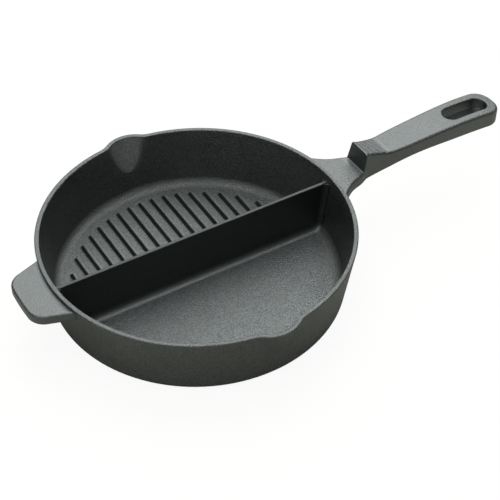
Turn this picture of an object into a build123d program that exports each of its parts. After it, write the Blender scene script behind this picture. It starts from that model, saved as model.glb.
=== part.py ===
"""Cast iron grill pan, 26 cm across the rim, divided into a ribbed half and a plain half.

Frame: the origin is the centre of the flat base, +X runs out along the long handle,
+Y points to the ribbed half and +Z is up. All sizes are in millimetres.

The pan is one casting. Its regions are separate solids that meet face to face: the floor,
the wall with its rim and spouts, the dividing wall, each grill rib, the helper handle, and
the neck, thumb rest and grip of the long handle.
"""

from build123d import *
import os
from math import atan2, cos, degrees, pi, radians, sin, sqrt, tan

# Bowl
RIM_RADIUS = 130.0
RIM_HEIGHT = 58.0
RIM_THICKNESS = 4.0
RIM_EDGE_RADIUS = 1.0
BASE_RADIUS = 121.5
BASE_CORNER_RADIUS = 7.0
FLOOR_THICKNESS = 4.5
FLOOR_CORNER_RADIUS = 8.0
WALL_FOOT_THICKNESS = 4.2

# Pouring spouts, one on each side of the dividing wall
SPOUT_REACH = 6.5
SPOUT_CHANNEL_RADIUS = 24.0
SPOUT_DROP = 30.0
SPOUT_BLEND_RADIUS = 16.0

# Dividing wall
DIVIDER_TOP_THICKNESS = 3.2
DIVIDER_DRAFT = 1.5
DIVIDER_BELOW_RIM = 6.0
DIVIDER_EDGE_RADIUS = 0.8
DIVIDER_ROOT_RADIUS = 5.0

# Grill ribs, drafted bars across the ribbed half
RIB_PITCH = 11.2
RIB_HEIGHT = 4.2
RIB_FOOT_WIDTH = 5.2
RIB_TOP_WIDTH = 2.6
RIB_TOP_RADIUS = 0.6
RIB_END_SLOPE = 35.0
RIB_GAP_TO_WALL = 6.5
RIB_GAP_TO_DIVIDER = 9.0
RIB_SHORTEST = 20.0

# Helper handle, the short tab opposite the long handle
TAB_REACH = 23.8
TAB_ROOT_WIDTH = 64.0
TAB_TIP_WIDTH = 48.0
TAB_TIP_CROWN = 1.3
TAB_CORNER_RADIUS = 15.0
TAB_BELOW_RIM = 3.0
TAB_THICKNESS = 9.0
TAB_EDGE_RADIUS = 2.0

# Long handle in plan, measured out from the rim
HANDLE_REACH = 169.7
NECK_ROOT_WIDTH = 51.6
NECK_ROOT_FLARE = 0.9
NECK_MIDDLE_WIDTH = 36.2
NECK_MIDDLE_AT = 12.0
NECK_END_WIDTH = 27.2
NECK_LENGTH = 24.0
WAIST_WIDTH = 21.9
WAIST_AT = 31.5
GRIP_SHOULDER_WIDTH = 26.0
GRIP_SHOULDER_AT = 51.0
GRIP_MIDDLE_WIDTH = 30.2
GRIP_MIDDLE_AT = 85.0
GRIP_END_WIDTH = 33.8
HANDLE_END_CORNER_RADIUS = 14.5

# Long handle from the side, heights measured from the rim's top face
NECK_THICKNESS = 10.0
KEEL_DEPTH = 10.8
THUMB_RISE = 16.7
THUMB_LEAN = 3.2
THUMB_LENGTH = 20.0
THUMB_FALL = 5.0
GRIP_LOW_RISE = 11.5
GRIP_LOW_AT = 58.0
GRIP_HIGH_RISE = 15.3
GRIP_HIGH_AT = 112.0
GRIP_END_RISE = 13.2
GRIP_END_FALL_ANGLE = 8.0
GRIP_THICKNESS = 15.5
HANDLE_EDGE_RADIUS = 2.8
THUMB_EDGE_RADIUS = 1.0

# Shallow notches across the thumb rest, fanned out and running a little askew
NOTCH_COUNT = 4
NOTCH_PITCH = 4.8
NOTCH_DEPTH = 0.8
NOTCH_WIDTH = 1.8
NOTCH_LAST_SKEW = 19.0
NOTCH_FAN = 3.5

# Hanging slot through the end of the grip
SLOT_LENGTH = 45.0
SLOT_WIDTH = 17.0
SLOT_END_MARGIN = 8.7
SLOT_DRAFT = 4.0
SLOT_PARTING_DEPTH = 9.5
SLOT_PARTING_STEP = 0.8
SLOT_LOWER_WIDTH = 9.6
SLOT_EDGE_RADIUS = 1.2

# How far cutting shapes run past the faces that they cut
OVERRUN = 12.0
# How closely a point has to lie to a face to count as lying on it
TOUCH = 0.001


def outer_radius(height):
    """Radius of the outer wall face at a height above the ground."""
    return BASE_RADIUS + (RIM_RADIUS - BASE_RADIUS) * height / RIM_HEIGHT


def inner_radius(height):
    """Radius of the inner wall face at a height above the ground."""
    foot = outer_radius(FLOOR_THICKNESS) - WALL_FOOT_THICKNESS
    top = RIM_RADIUS - RIM_THICKNESS
    return foot + (top - foot) * (height - FLOOR_THICKNESS) / (RIM_HEIGHT - FLOOR_THICKNESS)


def middle_radius(height):
    """Radius half way through the wall at a height above the ground."""
    return (inner_radius(height) + outer_radius(height)) / 2


def floor_flat_radius():
    """Radius at which the flat of the floor runs into the rounded corner of the wall."""
    rise = RIM_HEIGHT - FLOOR_THICKNESS
    lean = atan2(inner_radius(RIM_HEIGHT) - inner_radius(FLOOR_THICKNESS), rise)
    return inner_radius(FLOOR_THICKNESS) - FLOOR_CORNER_RADIUS * tan((pi / 2 - lean) / 2)


def drafted_round(foot_height, radius_at, corner_radius):
    """A drafted round solid from a flat foot to past the rim, with a rounded foot edge."""
    top = RIM_HEIGHT + OVERRUN
    corners = [(0, foot_height), (radius_at(foot_height), foot_height), (radius_at(top), top), (0, top)]
    profile = make_face(Polyline(*corners, close=True))
    foot_corner = profile.vertices().sort_by(Axis.Y)[:2].sort_by(Axis.X)[-1]
    return revolve(Plane.XZ * fillet(foot_corner, corner_radius), Axis.Z)


def with_spouts(body, radius):
    """Add a leaning round bulge on each side and blend it into the wall."""
    lip = RIM_RADIUS - RIM_THICKNESS + SPOUT_REACH
    lean = atan2(lip - inner_radius(RIM_HEIGHT - SPOUT_DROP), SPOUT_DROP)
    centre = lip - SPOUT_CHANNEL_RADIUS / cos(lean)
    above = (2 * OVERRUN + radius * sin(lean)) / cos(lean)
    below_top = Pos(0, 0, RIM_HEIGHT + OVERRUN) * extrude(Circle(2 * RIM_RADIUS), -RIM_HEIGHT - OVERRUN)
    for side in (1, -1):
        outward = Vector(0, side * sin(lean), cos(lean))
        start = Vector(0, side * centre, RIM_HEIGHT) + outward * above
        bulge = Plane(origin=start, z_dir=-outward) * extrude(Circle(radius), above + SPOUT_DROP)
        body = body + (bulge & below_top)
    creases = body.edges().filter_by(GeomType.BSPLINE)
    return fillet(creases, SPOUT_BLEND_RADIUS)


def outer_form():
    """The outside of the bowl as a solid, running past the rim."""
    return with_spouts(
        drafted_round(0, outer_radius, BASE_CORNER_RADIUS), SPOUT_CHANNEL_RADIUS + RIM_THICKNESS
    )


def cavity_form():
    """The inside of the bowl as a solid, running past the rim."""
    return with_spouts(
        drafted_round(FLOOR_THICKNESS, inner_radius, FLOOR_CORNER_RADIUS), SPOUT_CHANNEL_RADIUS
    )


def make_bowl():
    """Floor, drafted wall and flat rim with softened edges, one spout on each side."""
    above_rim = Pos(0, 0, RIM_HEIGHT) * extrude(Circle(2 * RIM_RADIUS), 2 * OVERRUN)
    bowl = outer_form() - cavity_form() - above_rim
    rim_face = bowl.faces().sort_by(Axis.Z)[-1]
    return fillet(rim_face.edges(), RIM_EDGE_RADIUS)


def divider_half_thickness(height):
    """Half the dividing wall's thickness at a height above the ground."""
    top = RIM_HEIGHT - DIVIDER_BELOW_RIM
    return DIVIDER_TOP_THICKNESS / 2 + (top - height) * tan(radians(DIVIDER_DRAFT))


def divider_limit(half_length):
    """Everything under the dividing wall's top: a strip with rounded edges over lower shoulders."""
    top = RIM_HEIGHT - DIVIDER_BELOW_RIM
    strip_half = divider_half_thickness(top)
    corners = [(-strip_half, 0), (strip_half, 0), (strip_half, top), (-strip_half, top)]
    strip = make_face(Polyline(*corners, close=True))
    strip = fillet(strip.vertices().sort_by(Axis.Y)[-2:], DIVIDER_EDGE_RADIUS)
    side = strip_half + 3 * DIVIDER_ROOT_RADIUS
    shoulder = top - DIVIDER_EDGE_RADIUS
    corners = [(-side, 0), (side, 0), (side, shoulder), (-side, shoulder)]
    shoulders = make_face(Polyline(*corners, close=True))
    return Pos(-half_length, 0, 0) * (Plane.YZ * extrude(strip + shoulders, 2 * half_length))


def half_hollow(cavity, side, half_length):
    """The hollow on one side of the dividing wall, with its edges along that wall rounded."""
    past_rim = RIM_HEIGHT + 2 * OVERRUN
    foot = (side * divider_half_thickness(0), 0)
    high = (side * divider_half_thickness(past_rim), past_rim)
    outside = side * half_length
    section = make_face(Polyline(foot, (outside, 0), (outside, past_rim), high, close=True))
    hollow = Pos(-half_length, 0, 0) * (Plane.YZ * extrude(section, 2 * half_length)) & cavity
    roots = ShapeList()
    for edge in hollow.edges():
        middle = edge @ 0.5
        off_divider = abs(middle.Y) - divider_half_thickness(middle.Z)
        if abs(off_divider) < TOUCH and middle.Z < RIM_HEIGHT + OVERRUN - TOUCH:
            roots.append(edge)
    return fillet(roots, DIVIDER_ROOT_RADIUS)


def make_divider():
    """Drafted wall across the bowl, with cast roundings at its foot and both ends."""
    cavity = drafted_round(FLOOR_THICKNESS, inner_radius, FLOOR_CORNER_RADIUS)
    half_length = RIM_RADIUS + BASE_RADIUS
    divider = cavity & divider_limit(half_length)
    for side in (1, -1):
        divider = divider - half_hollow(cavity, side, half_length)
    return divider


def make_rib(x, near_y, far_y):
    """One drafted rib along Y, with sloped ends and rounded top edges."""
    foot = RIB_FOOT_WIDTH / 2
    top = RIB_TOP_WIDTH / 2
    slope = RIB_HEIGHT * tan(radians(RIB_END_SLOPE))
    across = make_face(Polyline((-foot, 0), (foot, 0), (top, RIB_HEIGHT), (-top, RIB_HEIGHT), close=True))
    lengthwise = [(near_y, 0), (far_y, 0), (far_y - slope, RIB_HEIGHT), (near_y + slope, RIB_HEIGHT)]
    along = make_face(Polyline(*lengthwise, close=True))
    bar = Plane.XZ * extrude(across, -far_y)
    ends = Pos(-foot, 0, 0) * (Plane.YZ * extrude(along, 2 * foot))
    rib = bar & ends
    rib = fillet(rib.faces().sort_by(Axis.Z)[-1].edges(), RIB_TOP_RADIUS)
    return Pos(x, 0, FLOOR_THICKNESS) * rib


def make_ribs():
    """All the ribs from left to right, spaced evenly about the middle of the pan."""
    near_y = divider_half_thickness(FLOOR_THICKNESS) + RIB_GAP_TO_DIVIDER
    end_radius = floor_flat_radius() - RIB_GAP_TO_WALL
    reach = sqrt(end_radius**2 - (near_y + RIB_SHORTEST) ** 2)
    each_side = int(reach / RIB_PITCH)
    ribs = []
    for index in range(-each_side, each_side + 1):
        x = index * RIB_PITCH
        far_y = sqrt(end_radius**2 - x**2)
        ribs.append(make_rib(x, near_y, far_y))
    return ribs


def root_radius(foot_height):
    """Radius inside the wall from which a handle starts, to be trimmed by the wall."""
    return min(outer_radius(foot_height), outer_radius(RIM_HEIGHT)) - RIM_THICKNESS


def make_helper_handle():
    """Flat tab just below the rim, narrower at its crowned tip, with rounded edges."""
    foot_height = RIM_HEIGHT - TAB_BELOW_RIM - TAB_THICKNESS
    root_x = -root_radius(foot_height)
    tip_x = -(RIM_RADIUS + TAB_REACH)
    tip = TAB_TIP_WIDTH / 2
    flare = (TAB_ROOT_WIDTH / 2 - tip) / TAB_REACH
    root = tip + flare * (root_x - tip_x)
    sides = Polyline((tip_x, tip), (root_x, root), (root_x, -root), (tip_x, -tip))
    crown = ThreePointArc((tip_x, -tip), (tip_x - TAB_TIP_CROWN, 0), (tip_x, tip))
    outline = make_face([*sides.edges(), crown])
    outline = fillet(outline.vertices().sort_by(Axis.X)[:2], TAB_CORNER_RADIUS)
    tab = Pos(0, 0, foot_height) * extrude(outline, TAB_THICKNESS)
    rims = tab.edges().filter_by(lambda edge: abs(edge.tangent_at(0.5).Z) < TOUCH)
    rims = rims.filter_by(lambda edge: edge.center().X < root_x - TOUCH)
    return fillet(rims, TAB_EDGE_RADIUS) - outer_form()


def handle_plan():
    """The long handle seen from above: a flared neck, a waist and a widening grip."""
    root_x = root_radius(RIM_HEIGHT - NECK_THICKNESS)
    end_x = RIM_RADIUS + HANDLE_REACH
    root_half = NECK_ROOT_WIDTH / 2 + NECK_ROOT_FLARE * (RIM_RADIUS - root_x)
    neck_middle = (RIM_RADIUS + NECK_MIDDLE_AT, NECK_MIDDLE_WIDTH / 2)
    neck_end = (RIM_RADIUS + NECK_LENGTH, NECK_END_WIDTH / 2)
    waist = (RIM_RADIUS + WAIST_AT, WAIST_WIDTH / 2)
    shoulder = (RIM_RADIUS + GRIP_SHOULDER_AT, GRIP_SHOULDER_WIDTH / 2)
    grip_middle = (RIM_RADIUS + GRIP_MIDDLE_AT, GRIP_MIDDLE_WIDTH / 2)
    end_half = GRIP_END_WIDTH / 2
    root = (root_x, root_half)
    neck = Spline(root, neck_middle, neck_end, waist, tangents=[(1, -NECK_ROOT_FLARE), (1, 0)])
    grip = Spline(waist, shoulder, grip_middle, (end_x, end_half), tangents=[(1, 0), (1, 0)])
    upper = [neck, grip]
    lower = [mirror(edge, Plane.XZ) for edge in upper]
    end = Line((end_x, end_half), (end_x, -end_half))
    start = Line((root_x, root_half), (root_x, -root_half))
    return make_face([*upper, end, *lower, start])


def thumb_end():
    """Where the notched slope of the thumb rest runs into the grip, as X and Z."""
    return (
        RIM_RADIUS + NECK_LENGTH + THUMB_LEAN + THUMB_LENGTH,
        RIM_HEIGHT + THUMB_RISE - THUMB_FALL,
    )


def handle_side():
    """The long handle seen from the side: flush neck, thumb rest and gently rising grip."""
    root_x = root_radius(RIM_HEIGHT - NECK_THICKNESS)
    foot_x = RIM_RADIUS + NECK_LENGTH
    end_x = RIM_RADIUS + HANDLE_REACH
    crest = (foot_x + THUMB_LEAN, RIM_HEIGHT + THUMB_RISE)
    slope_end = thumb_end()
    low = (RIM_RADIUS + GRIP_LOW_AT, RIM_HEIGHT + GRIP_LOW_RISE)
    high = (RIM_RADIUS + GRIP_HIGH_AT, RIM_HEIGHT + GRIP_HIGH_RISE)
    end_top = (end_x, RIM_HEIGHT + GRIP_END_RISE)
    end_bottom = (end_x, RIM_HEIGHT + GRIP_END_RISE - GRIP_THICKNESS)
    under_low = (low[0], low[1] - GRIP_THICKNESS)
    under_high = (high[0], high[1] - GRIP_THICKNESS)
    keel = (RIM_RADIUS + WAIST_AT, RIM_HEIGHT - KEEL_DEPTH)
    root_top = (root_x, RIM_HEIGHT)
    root_bottom = (root_x, RIM_HEIGHT - NECK_THICKNESS)
    fall = (THUMB_LENGTH, -THUMB_FALL)
    end_fall = tan(radians(GRIP_END_FALL_ANGLE))
    top = Spline(slope_end, low, high, end_top, tangents=[fall, (1, -end_fall)])
    flat = Polyline(root_top, (foot_x, RIM_HEIGHT), crest, slope_end)
    under = Spline(end_bottom, under_high, under_low, keel, root_bottom, tangents=[(-1, end_fall), (-1, 0)])
    return make_face([*flat.edges(), top, Line(end_top, end_bottom), under, Line(root_bottom, root_top)])


def thumb_front(handle):
    """The leaning face that steps up from the neck to the thumb rest."""
    middle = (RIM_RADIUS + NECK_LENGTH + THUMB_LEAN / 2, 0, RIM_HEIGHT + THUMB_RISE / 2)
    return handle.faces().sort_by_distance(middle)[0]


def cut_notches(handle):
    """Cut the row of shallow notches across the thumb rest's slope, each turned more than the last."""
    crest_x = RIM_RADIUS + NECK_LENGTH + THUMB_LEAN
    crest_z = RIM_HEIGHT + THUMB_RISE
    tilt = degrees(atan2(THUMB_FALL, THUMB_LENGTH))
    half = NOTCH_WIDTH / 2
    corners = [(-half, 0), (0, -NOTCH_DEPTH), (half, 0), (half, half), (-half, half)]
    vee = make_face(Polyline(*corners, close=True))
    cutter = Pos(0, WAIST_WIDTH, 0) * (Plane.XZ * extrude(vee, 2 * WAIST_WIDTH))
    first = THUMB_LENGTH - (NOTCH_COUNT - 0.5) * NOTCH_PITCH
    for index in range(NOTCH_COUNT):
        along = first + index * NOTCH_PITCH
        skew = NOTCH_LAST_SKEW - (NOTCH_COUNT - 1 - index) * NOTCH_FAN
        place = Pos(crest_x, 0, crest_z) * Rot(0, tilt, 0) * Pos(along, 0, 0) * Rot(0, 0, skew)
        handle = handle - place * cutter
    return handle


def cut_slot(handle):
    """Cut the hanging slot: a drafted upper part over a lower part that starts wider and narrows."""
    centre_x = RIM_RADIUS + HANDLE_REACH - SLOT_END_MARGIN - SLOT_LENGTH / 2
    parting_z = RIM_HEIGHT + GRIP_HIGH_RISE - SLOT_PARTING_DEPTH
    lower_depth = GRIP_THICKNESS - SLOT_PARTING_DEPTH
    ends = SLOT_LENGTH - SLOT_WIDTH
    upper_width = SLOT_WIDTH - 2 * SLOT_PARTING_DEPTH * tan(radians(SLOT_DRAFT))
    below_width = upper_width + 2 * SLOT_PARTING_STEP
    narrowing = degrees(atan2((below_width - SLOT_LOWER_WIDTH) / 2, lower_depth))
    upper = SlotOverall(ends + upper_width, upper_width)
    lower = SlotOverall(ends + below_width, below_width)
    place = Pos(centre_x, 0, parting_z)
    past = OVERRUN / 4
    opened = handle - place * extrude(upper, SLOT_PARTING_DEPTH + past, taper=-SLOT_DRAFT)
    opened = opened - place * Rot(180, 0, 0) * extrude(lower, lower_depth + past, taper=narrowing)
    near_slot = opened.edges().filter_by(lambda edge: abs(edge.center().X - centre_x) < SLOT_LENGTH / 2)
    near_slot = near_slot.filter_by(lambda edge: abs(edge.center().Y) < SLOT_WIDTH / 2 + SLOT_EDGE_RADIUS)
    mouths = near_slot.filter_by(lambda edge: abs(edge.center().Z - parting_z) > lower_depth / 2)
    mouths = mouths.filter_by(lambda edge: abs(edge.tangent_at(0.5).Z) < 0.5)
    return fillet(mouths, SLOT_EDGE_RADIUS)


def parted(form, x):
    """The parts of a form before and beyond a plane across the long handle."""
    plane = Plane(origin=(x, 0, 0), z_dir=(1, 0, 0))
    return form.split(plane, keep=Keep.BOTTOM), form.split(plane, keep=Keep.TOP)


def make_long_handle(bowl):
    """Neck, thumb rest and grip as one form, then parted across at the ends of the thumb rest."""
    plan_form = extrude(handle_plan(), RIM_HEIGHT + 2 * THUMB_RISE)
    end_corners = plan_form.edges().filter_by(Axis.Z).sort_by(Axis.X)[-2:]
    plan_form = fillet(end_corners, HANDLE_END_CORNER_RADIUS)
    width = 2 * NECK_ROOT_WIDTH
    side_form = Pos(0, width / 2, 0) * (Plane.XZ * extrude(handle_side(), width))
    handle = plan_form & side_form
    root_x = root_radius(RIM_HEIGHT - NECK_THICKNESS)
    front_edges = thumb_front(handle).edges()
    edges = handle.edges().filter_by(lambda edge: edge.center().X > root_x + TOUCH)
    long_edges = edges.filter_by(lambda edge: edge not in front_edges)
    handle = fillet(long_edges, HANDLE_EDGE_RADIUS)
    handle = fillet(thumb_front(handle).edges(), THUMB_EDGE_RADIUS)
    handle = cut_slot(cut_notches(handle))
    inside_wall = drafted_round(0, middle_radius, BASE_CORNER_RADIUS)
    handle = handle - inside_wall - bowl
    neck_end = RIM_RADIUS + NECK_LENGTH - 2 * HANDLE_EDGE_RADIUS
    grip_start = thumb_end()[0] + NOTCH_PITCH
    neck, beyond = parted(handle, neck_end)
    rest, grip = parted(beyond, grip_start)
    return neck, rest, grip


def make_pan():
    """Every region of the casting, by name."""
    bowl = make_bowl()
    floor_disc = extrude(Circle(floor_flat_radius()), RIM_HEIGHT)
    neck, rest, grip = make_long_handle(bowl)
    pieces = {
        "pan_floor": bowl & floor_disc,
        "pan_wall": bowl - floor_disc,
        "dividing_wall": make_divider(),
        "helper_handle": make_helper_handle(),
        "handle_neck": neck,
        "thumb_rest": rest,
        "handle_grip": grip,
    }
    for number, rib in enumerate(make_ribs(), start=1):
        pieces[f"grill_rib_{number:02d}"] = rib
    return pieces


os.makedirs("parts", exist_ok=True)
for name, piece in make_pan().items():
    piece.label = name
    export_step(piece, f"parts/{name}.step")
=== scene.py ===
"""Looks of the divided cast iron grill pan: its finish, a pale floor, soft light and a camera."""

import math

import bpy
from mathutils import Matrix, Vector

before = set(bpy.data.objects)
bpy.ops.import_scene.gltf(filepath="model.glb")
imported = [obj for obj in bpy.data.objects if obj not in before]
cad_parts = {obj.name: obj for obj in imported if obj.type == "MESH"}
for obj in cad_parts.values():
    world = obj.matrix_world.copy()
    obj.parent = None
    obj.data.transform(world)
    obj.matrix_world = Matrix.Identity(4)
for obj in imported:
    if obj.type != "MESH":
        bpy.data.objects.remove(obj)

MM = 0.001
WHITE = (1.0, 1.0, 1.0)
BLACK = (0.0, 0.0, 0.0)

# Camera in the part's frame, in degrees and millimetres
VIEW_AZIMUTH = -31.353
VIEW_ELEVATION = 43.250
VIEW_ROLL = 0.424
VIEW_TARGET = (22.74, -44.86, 58.0)
VIEW_DISTANCE = 1019.5
LENS = 93.14
SENSOR = 36.0

# Heights of the casting. All lengths from here on are in metres.
RIM_TOP = 0.058
RIB_TOP = 0.0087
DIVIDER_TOP = 0.052

# Colours of the iron, and of the painted light in the spouts' channels
IRON_DARK = (0.006, 0.0065, 0.006)
IRON_LIGHT = (0.018, 0.0195, 0.018)
WORN_COLOUR = (0.060, 0.064, 0.062)
PAINTED_SPOUT_LIGHT = (0.150, 0.155, 0.145)
SHEEN_TINT = (0.92, 1.0, 0.99)

# Noises of the iron: size, detail and roughness
CLOUDS = (0.035, 4.0, 0.6)
FLECKS = (0.0010, 2.0, 0.7)
SPECKS = (0.0010, 2.0, 0.8)
PATCHES = (0.006, 5.0, 0.65)
GRAIN = (0.0005, 3.0, 0.6)
LUMPS = (0.004, 2.0, 0.5)
NOISE_MIDDLE = 0.5

# Skin of the iron
PEBBLE_SIZE = 0.0011
PEBBLE_SMOOTHNESS = 0.6
PEBBLE_DEPTH = 0.00035
GRAIN_DEPTH = 0.0004
LUMP_DEPTH = 0.0003
LUMP_STRENGTH = 0.25
SMOOTHING_BAND = 0.0008
SMOOTHED_STRENGTH = 0.8
ROUGHNESS_RANGE = 0.24
WORN_SMOOTHING = 0.06

# Ramps: the two values between which each rises, then its two results if they aren't 0 and 1.
# The tilts are the upward part of the surface's direction.
COLOUR_RAMP = (0.35, 0.65)
SPECK_RAMP = (0.36, 0.64)
PATCH_RAMP = (0.30, 0.62)
EDGE_TILTS = (0.25, 0.55)
FLAT_TILTS = (0.97, 0.80)
TOP_TILTS = (0.3, 0.8)
# Painted shade on the ribs' steep flanks: their reflection grows darker the more they lean
PAINTED_FLANK_SHADE_TILTS = (0.35, 0.80, 0.4, 1.0)
# Painted shade in grooves: how far the reflection darkens where walls close in
PAINTED_GROOVE_SHADE_RAMP = (0.50, 0.95, 0.3, 1.0)
# Heights over which painted shade sets in on the dividing wall above its foot
DIVIDER_FOOT = (0.0065, 0.0130)
# Painted light in the spouts' channels: the tilts and heights where it sits, how it fades towards
# the wall's foot, and how flecks break it up
SPOUT_TILTS = (0.20, 0.32)
SPOUT_LIP = (RIM_TOP - 0.0006, RIM_TOP - 0.0016)
SPOUT_FOOT = (0.010, 0.022, 0.35, 1.0)
SPOUT_FLECKS = (0.3, 0.7, 0.5, 1.0)

# How far the wear of a top reaches below and above the height where it starts
WEAR_BELOW = 0.0006
WEAR_ABOVE = 0.0004
# How far painted shade darkens the dividing wall's reflection above its foot
DIVIDER_PAINTED_SHADE = 0.62
# How far away a wall still casts painted shade on the floor between the ribs, and a notch of the
# thumb rest
RIB_PAINTED_SHADE_REACH = 0.0025
NOTCH_PAINTED_SHADE_REACH = 0.0010
PAINTED_SHADE_SAMPLES = 8

# Finishes of the iron. Some switch on painted light in the spouts' channels, and painted shade on
# the ribs' flanks, in grooves and notches, and on the dividing wall above its foot.
FINISHES = {
    "iron_wall": dict(
        ior=2.70, roughness=0.36, pebble=1.0, speckle=0.55, edge_wear=0.06,
        smooth_from=RIM_TOP - 0.0012, painted_spout_light=True,
    ),
    "iron_floor": dict(
        ior=3.20, roughness=0.34, pebble=1.0, speckle=0.50, edge_wear=0.1,
        painted_groove_shade_reach=RIB_PAINTED_SHADE_REACH,
    ),
    "iron_ribs": dict(
        ior=3.20, roughness=0.34, pebble=1.0, speckle=0.50, edge_wear=0.2, top_wear=0.1,
        wear_from=RIB_TOP - 0.0004, painted_flank_shade=True, painted_groove_shade_reach=RIB_PAINTED_SHADE_REACH,
    ),
    "iron_divider": dict(
        ior=2.70, roughness=0.36, pebble=0.6, speckle=0.30, edge_wear=0.1, top_wear=0.3,
        wear_from=DIVIDER_TOP - 0.001, painted_shade_above_foot=True,
    ),
    "iron_handles": dict(ior=2.33, roughness=0.34, pebble=0.55, speckle=0.14, edge_wear=0.2),
    "iron_thumb_rest": dict(
        ior=2.32, roughness=0.33, pebble=0.20, speckle=0.14, edge_wear=0.2,
        painted_groove_shade_reach=NOTCH_PAINTED_SHADE_REACH,
    ),
}
FINISH_OF_NODE = {
    "pan_wall": "iron_wall",
    "pan_floor": "iron_floor",
    "dividing_wall": "iron_divider",
    "thumb_rest": "iron_thumb_rest",
    "handle_neck": "iron_handles",
    "handle_grip": "iron_handles",
    "helper_handle": "iron_handles",
}
RIB_PREFIX = "grill_rib"

# Each softbox: direction, distance, side and radiance
SOFTBOXES = {
    "softbox_behind": ((0.34, 0.55, 0.76), 2.0, 2.2, 2.25),
    "softbox_above": ((0.00, -0.10, 1.00), 1.9, 1.4, 1.60),
    "softbox_left": ((-0.62, -0.42, 0.66), 0.62, 0.3, 1.50),
}
AMBIENT = 0.20

# Pale floor
FLOOR_HALF = 4.0
FLOOR_DROP = 0.0002
FLOOR_COLOUR = (0.50, 0.50, 0.445)
FLOOR_GLOW = 1.15
FLOOR_SHADOW = 0.20


def rgba(colour):
    """A colour with full opacity, as the sockets want it."""
    return (*colour, 1.0)


class Nodes:
    """Adds nodes to a material or world tree and links them."""

    def __init__(self, tree):
        self.tree = tree
        tree.nodes.clear()

    def add(self, kind, inputs=None, **settings):
        """Adds a node. inputs are values or sockets by the name of the input that they feed."""
        node = self.tree.nodes.new(kind)
        for name, value in settings.items():
            setattr(node, name, value)
        for name, value in (inputs or {}).items():
            self.feed(node.inputs[name], value)
        return node

    def feed(self, socket, value):
        """Links another socket to this one, or sets its value."""
        if isinstance(value, bpy.types.NodeSocket):
            self.tree.links.new(value, socket)
        else:
            socket.default_value = value

    def math(self, operation, first, second, clamp=False):
        """The result of one sum."""
        node = self.add("ShaderNodeMath", operation=operation, use_clamp=clamp)
        self.feed(node.inputs[0], first)
        self.feed(node.inputs[1], second)
        return node.outputs[0]

    def times(self, first, second, clamp=False):
        """The product of two values."""
        return self.math("MULTIPLY", first, second, clamp)

    def ramp(self, value, low, high, to_low=0.0, to_high=1.0):
        """A smooth step from to_low to to_high as value goes from low to high."""
        limits = {"From Min": low, "From Max": high, "To Min": to_low, "To Max": to_high}
        node = self.add(
            "ShaderNodeMapRange", {"Value": value, **limits}, interpolation_type="SMOOTHSTEP",
        )
        return node.outputs["Result"]

    def mix(self, factor, first, second):
        """A colour between two others."""
        node = self.add("ShaderNodeMix", data_type="RGBA")
        self.feed(node.inputs[0], factor)
        self.feed(node.inputs[6], first)
        self.feed(node.inputs[7], second)
        return node.outputs[2]

    def noise(self, place, size, detail, roughness):
        """A noise whose features are about size across."""
        node = self.add(
            "ShaderNodeTexNoise",
            {"Vector": place, "Scale": 1.0 / size, "Detail": detail, "Roughness": roughness},
        )
        return node.outputs["Fac"]

    def bump(self, strength, depth, height, normal=None, invert=False):
        """A surface direction, bent by a height. normal is the direction to start from."""
        inputs = {"Strength": strength, "Distance": depth, "Height": height}
        if normal is not None:
            inputs["Normal"] = normal
        return self.add("ShaderNodeBump", inputs, invert=invert).outputs["Normal"]


def new_material(name):
    """An empty material with nodes, and the tool that fills it."""
    material = bpy.data.materials.new(name)
    material.use_nodes = True
    return material, Nodes(material.node_tree)


def worn_share(n, place, height, tilt, edge_wear, top_wear, wear_from):
    """How far the iron is rubbed lighter: in patches, on rounded edges and on tops."""
    rounded = n.times(n.ramp(tilt, *EDGE_TILTS), n.ramp(tilt, *FLAT_TILTS))
    worn = n.times(rounded, edge_wear)
    if top_wear:
        above = n.ramp(height, wear_from - WEAR_BELOW, wear_from + WEAR_ABOVE)
        top = n.times(above, n.ramp(tilt, *TOP_TILTS))
        worn = n.math("MAXIMUM", worn, n.times(top, top_wear))
    patches = n.ramp(n.noise(place, *PATCHES), *PATCH_RAMP)
    return n.times(worn, patches, clamp=True)


def painted_spout_light_share(n, height, tilt, flecks):
    """How far painted light brightens the iron: in the spouts' channels, and a little at the
    wall's foot.
    """
    channel = n.times(n.ramp(tilt, *SPOUT_TILTS), n.ramp(height, *SPOUT_LIP))
    channel = n.times(channel, n.ramp(height, *SPOUT_FOOT))
    return n.times(channel, n.ramp(flecks, *SPOUT_FLECKS))


def pebbled_skin(n, place, height, pebble, smooth_from):
    """The surface's direction, bent by pebbles, fine grain and wide lumps."""
    cells = n.add(
        "ShaderNodeTexVoronoi",
        {"Vector": place, "Scale": 1.0 / PEBBLE_SIZE, "Smoothness": PEBBLE_SMOOTHNESS,
         "Randomness": 1.0},
        feature="SMOOTH_F1",
    ).outputs["Distance"]
    grain = n.noise(place, *GRAIN)
    lumps = n.noise(place, *LUMPS)
    smoother = n.ramp(height, smooth_from, smooth_from + SMOOTHING_BAND, 1.0, SMOOTHED_STRENGTH)
    strength = n.times(smoother, pebble, clamp=True)
    pebbles = n.bump(strength, PEBBLE_DEPTH, cells, invert=True)
    grains = n.bump(strength, GRAIN_DEPTH, grain, pebbles)
    return n.bump(LUMP_STRENGTH, LUMP_DEPTH, lumps, grains)


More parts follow.
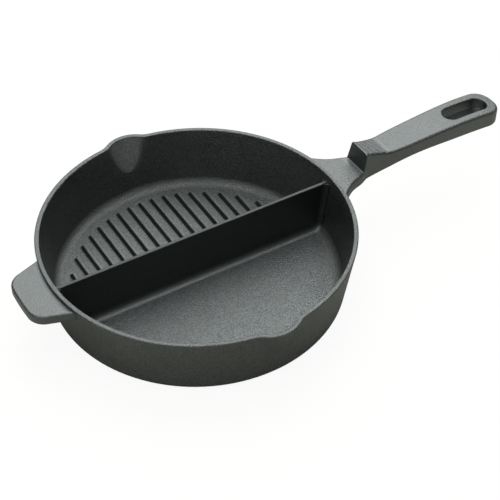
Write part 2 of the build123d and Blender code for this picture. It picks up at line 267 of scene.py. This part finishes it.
def cast_iron(name, ior, roughness, pebble, speckle, edge_wear, top_wear=0.0, wear_from=0.0,
              smooth_from=1.0, painted_groove_shade_reach=0.0, painted_shade_above_foot=False, painted_flank_shade=False,
              painted_spout_light=False):
    """Seasoned cast iron with a pebbled skin.

    pebble is the strength of the bump, and speckle is how far the shine drops between its
    specks. edge_wear is how far rounded edges are rubbed lighter, and top_wear how far all
    above wear_from is. The skin is smoother above smooth_from. painted_groove_shade_reach is how
    far away a wall still casts painted shade into a groove beside it. painted_shade_above_foot
    paints shade on the dividing wall above its foot, and painted_flank_shade paints shade on
    steep flanks. painted_spout_light paints light into the spouts' channels, which lean further
    out than the wall around them.
    """
    material, n = new_material(name)
    place = n.add("ShaderNodeTexCoord").outputs["Object"]
    direction = n.add("ShaderNodeNewGeometry").outputs["Normal"]
    height = n.add("ShaderNodeSeparateXYZ", {"Vector": place}).outputs["Z"]
    tilt = n.add("ShaderNodeSeparateXYZ", {"Vector": direction}).outputs["Z"]

    clouds = n.noise(place, *CLOUDS)
    flecks = n.noise(place, *FLECKS)
    blend = n.math("ADD", n.times(clouds, 0.5), n.times(flecks, 0.5))
    colour = n.mix(n.ramp(blend, *COLOUR_RAMP), rgba(IRON_DARK), rgba(IRON_LIGHT))

    gloss_and_painted_shade = n.ramp(n.noise(place, *SPECKS), *SPECK_RAMP, 1.0 - speckle, 1.0)
    # Painted shade on the dividing wall above its foot: darker colour and reflection
    if painted_shade_above_foot:
        above = n.ramp(height, *DIVIDER_FOOT)
        colour = n.mix(above, colour, rgba(IRON_DARK))
        gloss_and_painted_shade = n.times(gloss_and_painted_shade, n.math("SUBTRACT", 1.0, n.times(above, DIVIDER_PAINTED_SHADE)))
    # Painted shade on the ribs' steep flanks
    if painted_flank_shade:
        gloss_and_painted_shade = n.times(gloss_and_painted_shade, n.ramp(tilt, *PAINTED_FLANK_SHADE_TILTS))
    # Painted shade in grooves and notches: the reflection darkens where nearby walls close in
    if painted_groove_shade_reach:
        openness = n.add(
            "ShaderNodeAmbientOcclusion", {"Distance": painted_groove_shade_reach}, samples=PAINTED_SHADE_SAMPLES,
        ).outputs["AO"]
        gloss_and_painted_shade = n.times(gloss_and_painted_shade, n.ramp(openness, *PAINTED_GROOVE_SHADE_RAMP))
    # The reflection's tint: the sheen colour, dimmed by the specks and by the painted shade
    sheen_and_painted_shade = n.mix(gloss_and_painted_shade, rgba(BLACK), rgba(SHEEN_TINT))

    worn = worn_share(n, place, height, tilt, edge_wear, top_wear, wear_from)
    colour = n.mix(worn, colour, rgba(WORN_COLOUR))
    # Painted light in the spouts' channels, paler than the iron around them
    if painted_spout_light:
        colour = n.mix(painted_spout_light_share(n, height, tilt, flecks), colour, rgba(PAINTED_SPOUT_LIGHT))

    rough = roughness
    for noise in (clouds, flecks):
        swing = n.times(n.math("SUBTRACT", noise, NOISE_MIDDLE), ROUGHNESS_RANGE)
        rough = n.math("ADD", swing, rough)
    rough = n.math("SUBTRACT", rough, n.times(worn, WORN_SMOOTHING), clamp=True)

    shader = n.add(
        "ShaderNodeBsdfPrincipled",
        {
            "Base Color": colour,
            "Roughness": rough,
            "Metallic": 0.0,
            "IOR": ior,
            "Specular Tint": sheen_and_painted_shade,
            "Normal": pebbled_skin(n, place, height, pebble, smooth_from),
        },
    )
    n.add("ShaderNodeOutputMaterial", {"Surface": shader.outputs["BSDF"]})
    return material


def dress():
    """Gives every node of the casting its finish."""
    finishes = {name: cast_iron(name, **values) for name, values in FINISHES.items()}
    for name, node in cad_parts.items():
        chosen = "iron_ribs" if name.startswith(RIB_PREFIX) else FINISH_OF_NODE[name]
        for slot in node.material_slots:
            slot.material = finishes[chosen]


def make_floor():
    """A wide pale floor under the pan: white to the eye, with a soft shadow."""
    mesh = bpy.data.meshes.new("floor")
    corners = [
        (FLOOR_HALF * x, FLOOR_HALF * y, 0.0) for x, y in ((-1, -1), (1, -1), (1, 1), (-1, 1))
    ]
    mesh.from_pydata(corners, [], [(0, 1, 2, 3)])
    floor = bpy.data.objects.new("floor", mesh)
    floor.location.z = -FLOOR_DROP
    bpy.context.scene.collection.objects.link(floor)
    material, n = new_material("pale_floor")
    matt = n.add("ShaderNodeBsdfDiffuse", {"Color": rgba(FLOOR_COLOUR)})
    bright = n.add("ShaderNodeEmission", {"Color": rgba(WHITE), "Strength": FLOOR_GLOW})
    seen = n.add("ShaderNodeLightPath").outputs["Is Camera Ray"]
    both = n.add("ShaderNodeMixShader", {"Fac": n.times(seen, 1.0 - FLOOR_SHADOW)})
    n.feed(both.inputs[1], matt.outputs[0])
    n.feed(both.inputs[2], bright.outputs[0])
    n.add("ShaderNodeOutputMaterial", {"Surface": both.outputs[0]})
    mesh.materials.append(material)


def make_world():
    """White where the camera sees it, and a soft grey fill elsewhere."""
    world = bpy.data.worlds.new("studio")
    bpy.context.scene.world = world
    world.use_nodes = True
    n = Nodes(world.node_tree)
    seen = n.add("ShaderNodeLightPath").outputs["Is Camera Ray"]
    strength = n.ramp(seen, 0.0, 1.0, AMBIENT, 1.0)
    background = n.add("ShaderNodeBackground", {"Color": rgba(WHITE), "Strength": strength})
    n.add("ShaderNodeOutputWorld", {"Surface": background.outputs[0]})


def make_softboxes():
    """Square softboxes that face the pan."""
    for name, (direction, distance, side, radiance) in SOFTBOXES.items():
        towards = Vector(direction).normalized()
        lamp = bpy.data.lights.new(name, "AREA")
        lamp.shape = "SQUARE"
        lamp.size = side
        lamp.energy = radiance * math.pi * side**2
        holder = bpy.data.objects.new(name, lamp)
        holder.location = towards * distance
        holder.rotation_euler = towards.to_track_quat("Z", "Y").to_euler()
        bpy.context.scene.collection.objects.link(holder)


def make_camera():
    """The photograph's viewpoint."""
    azimuth = math.radians(VIEW_AZIMUTH)
    elevation = math.radians(VIEW_ELEVATION)
    roll = math.radians(VIEW_ROLL)
    back = Vector((
        math.sin(azimuth) * math.cos(elevation),
        -math.cos(azimuth) * math.cos(elevation),
        math.sin(elevation),
    ))
    right = Vector((math.cos(azimuth), math.sin(azimuth), 0.0))
    up = back.cross(right)
    across = right * math.cos(roll) + up * math.sin(roll)
    upward = up * math.cos(roll) - right * math.sin(roll)
    place = (Vector(VIEW_TARGET) + back * VIEW_DISTANCE) * MM
    camera = bpy.data.cameras.new("camera")
    camera.sensor_width = SENSOR
    camera.lens = LENS
    holder = bpy.data.objects.new("camera", camera)
    turn = Matrix((across, upward, back)).transposed().to_4x4()
    holder.matrix_world = Matrix.Translation(place) @ turn
    bpy.context.scene.collection.objects.link(holder)
    bpy.context.scene.camera = holder


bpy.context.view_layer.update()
bpy.context.scene.view_settings.view_transform = "Standard"
dress()
make_floor()
make_world()
make_softboxes()
make_camera()
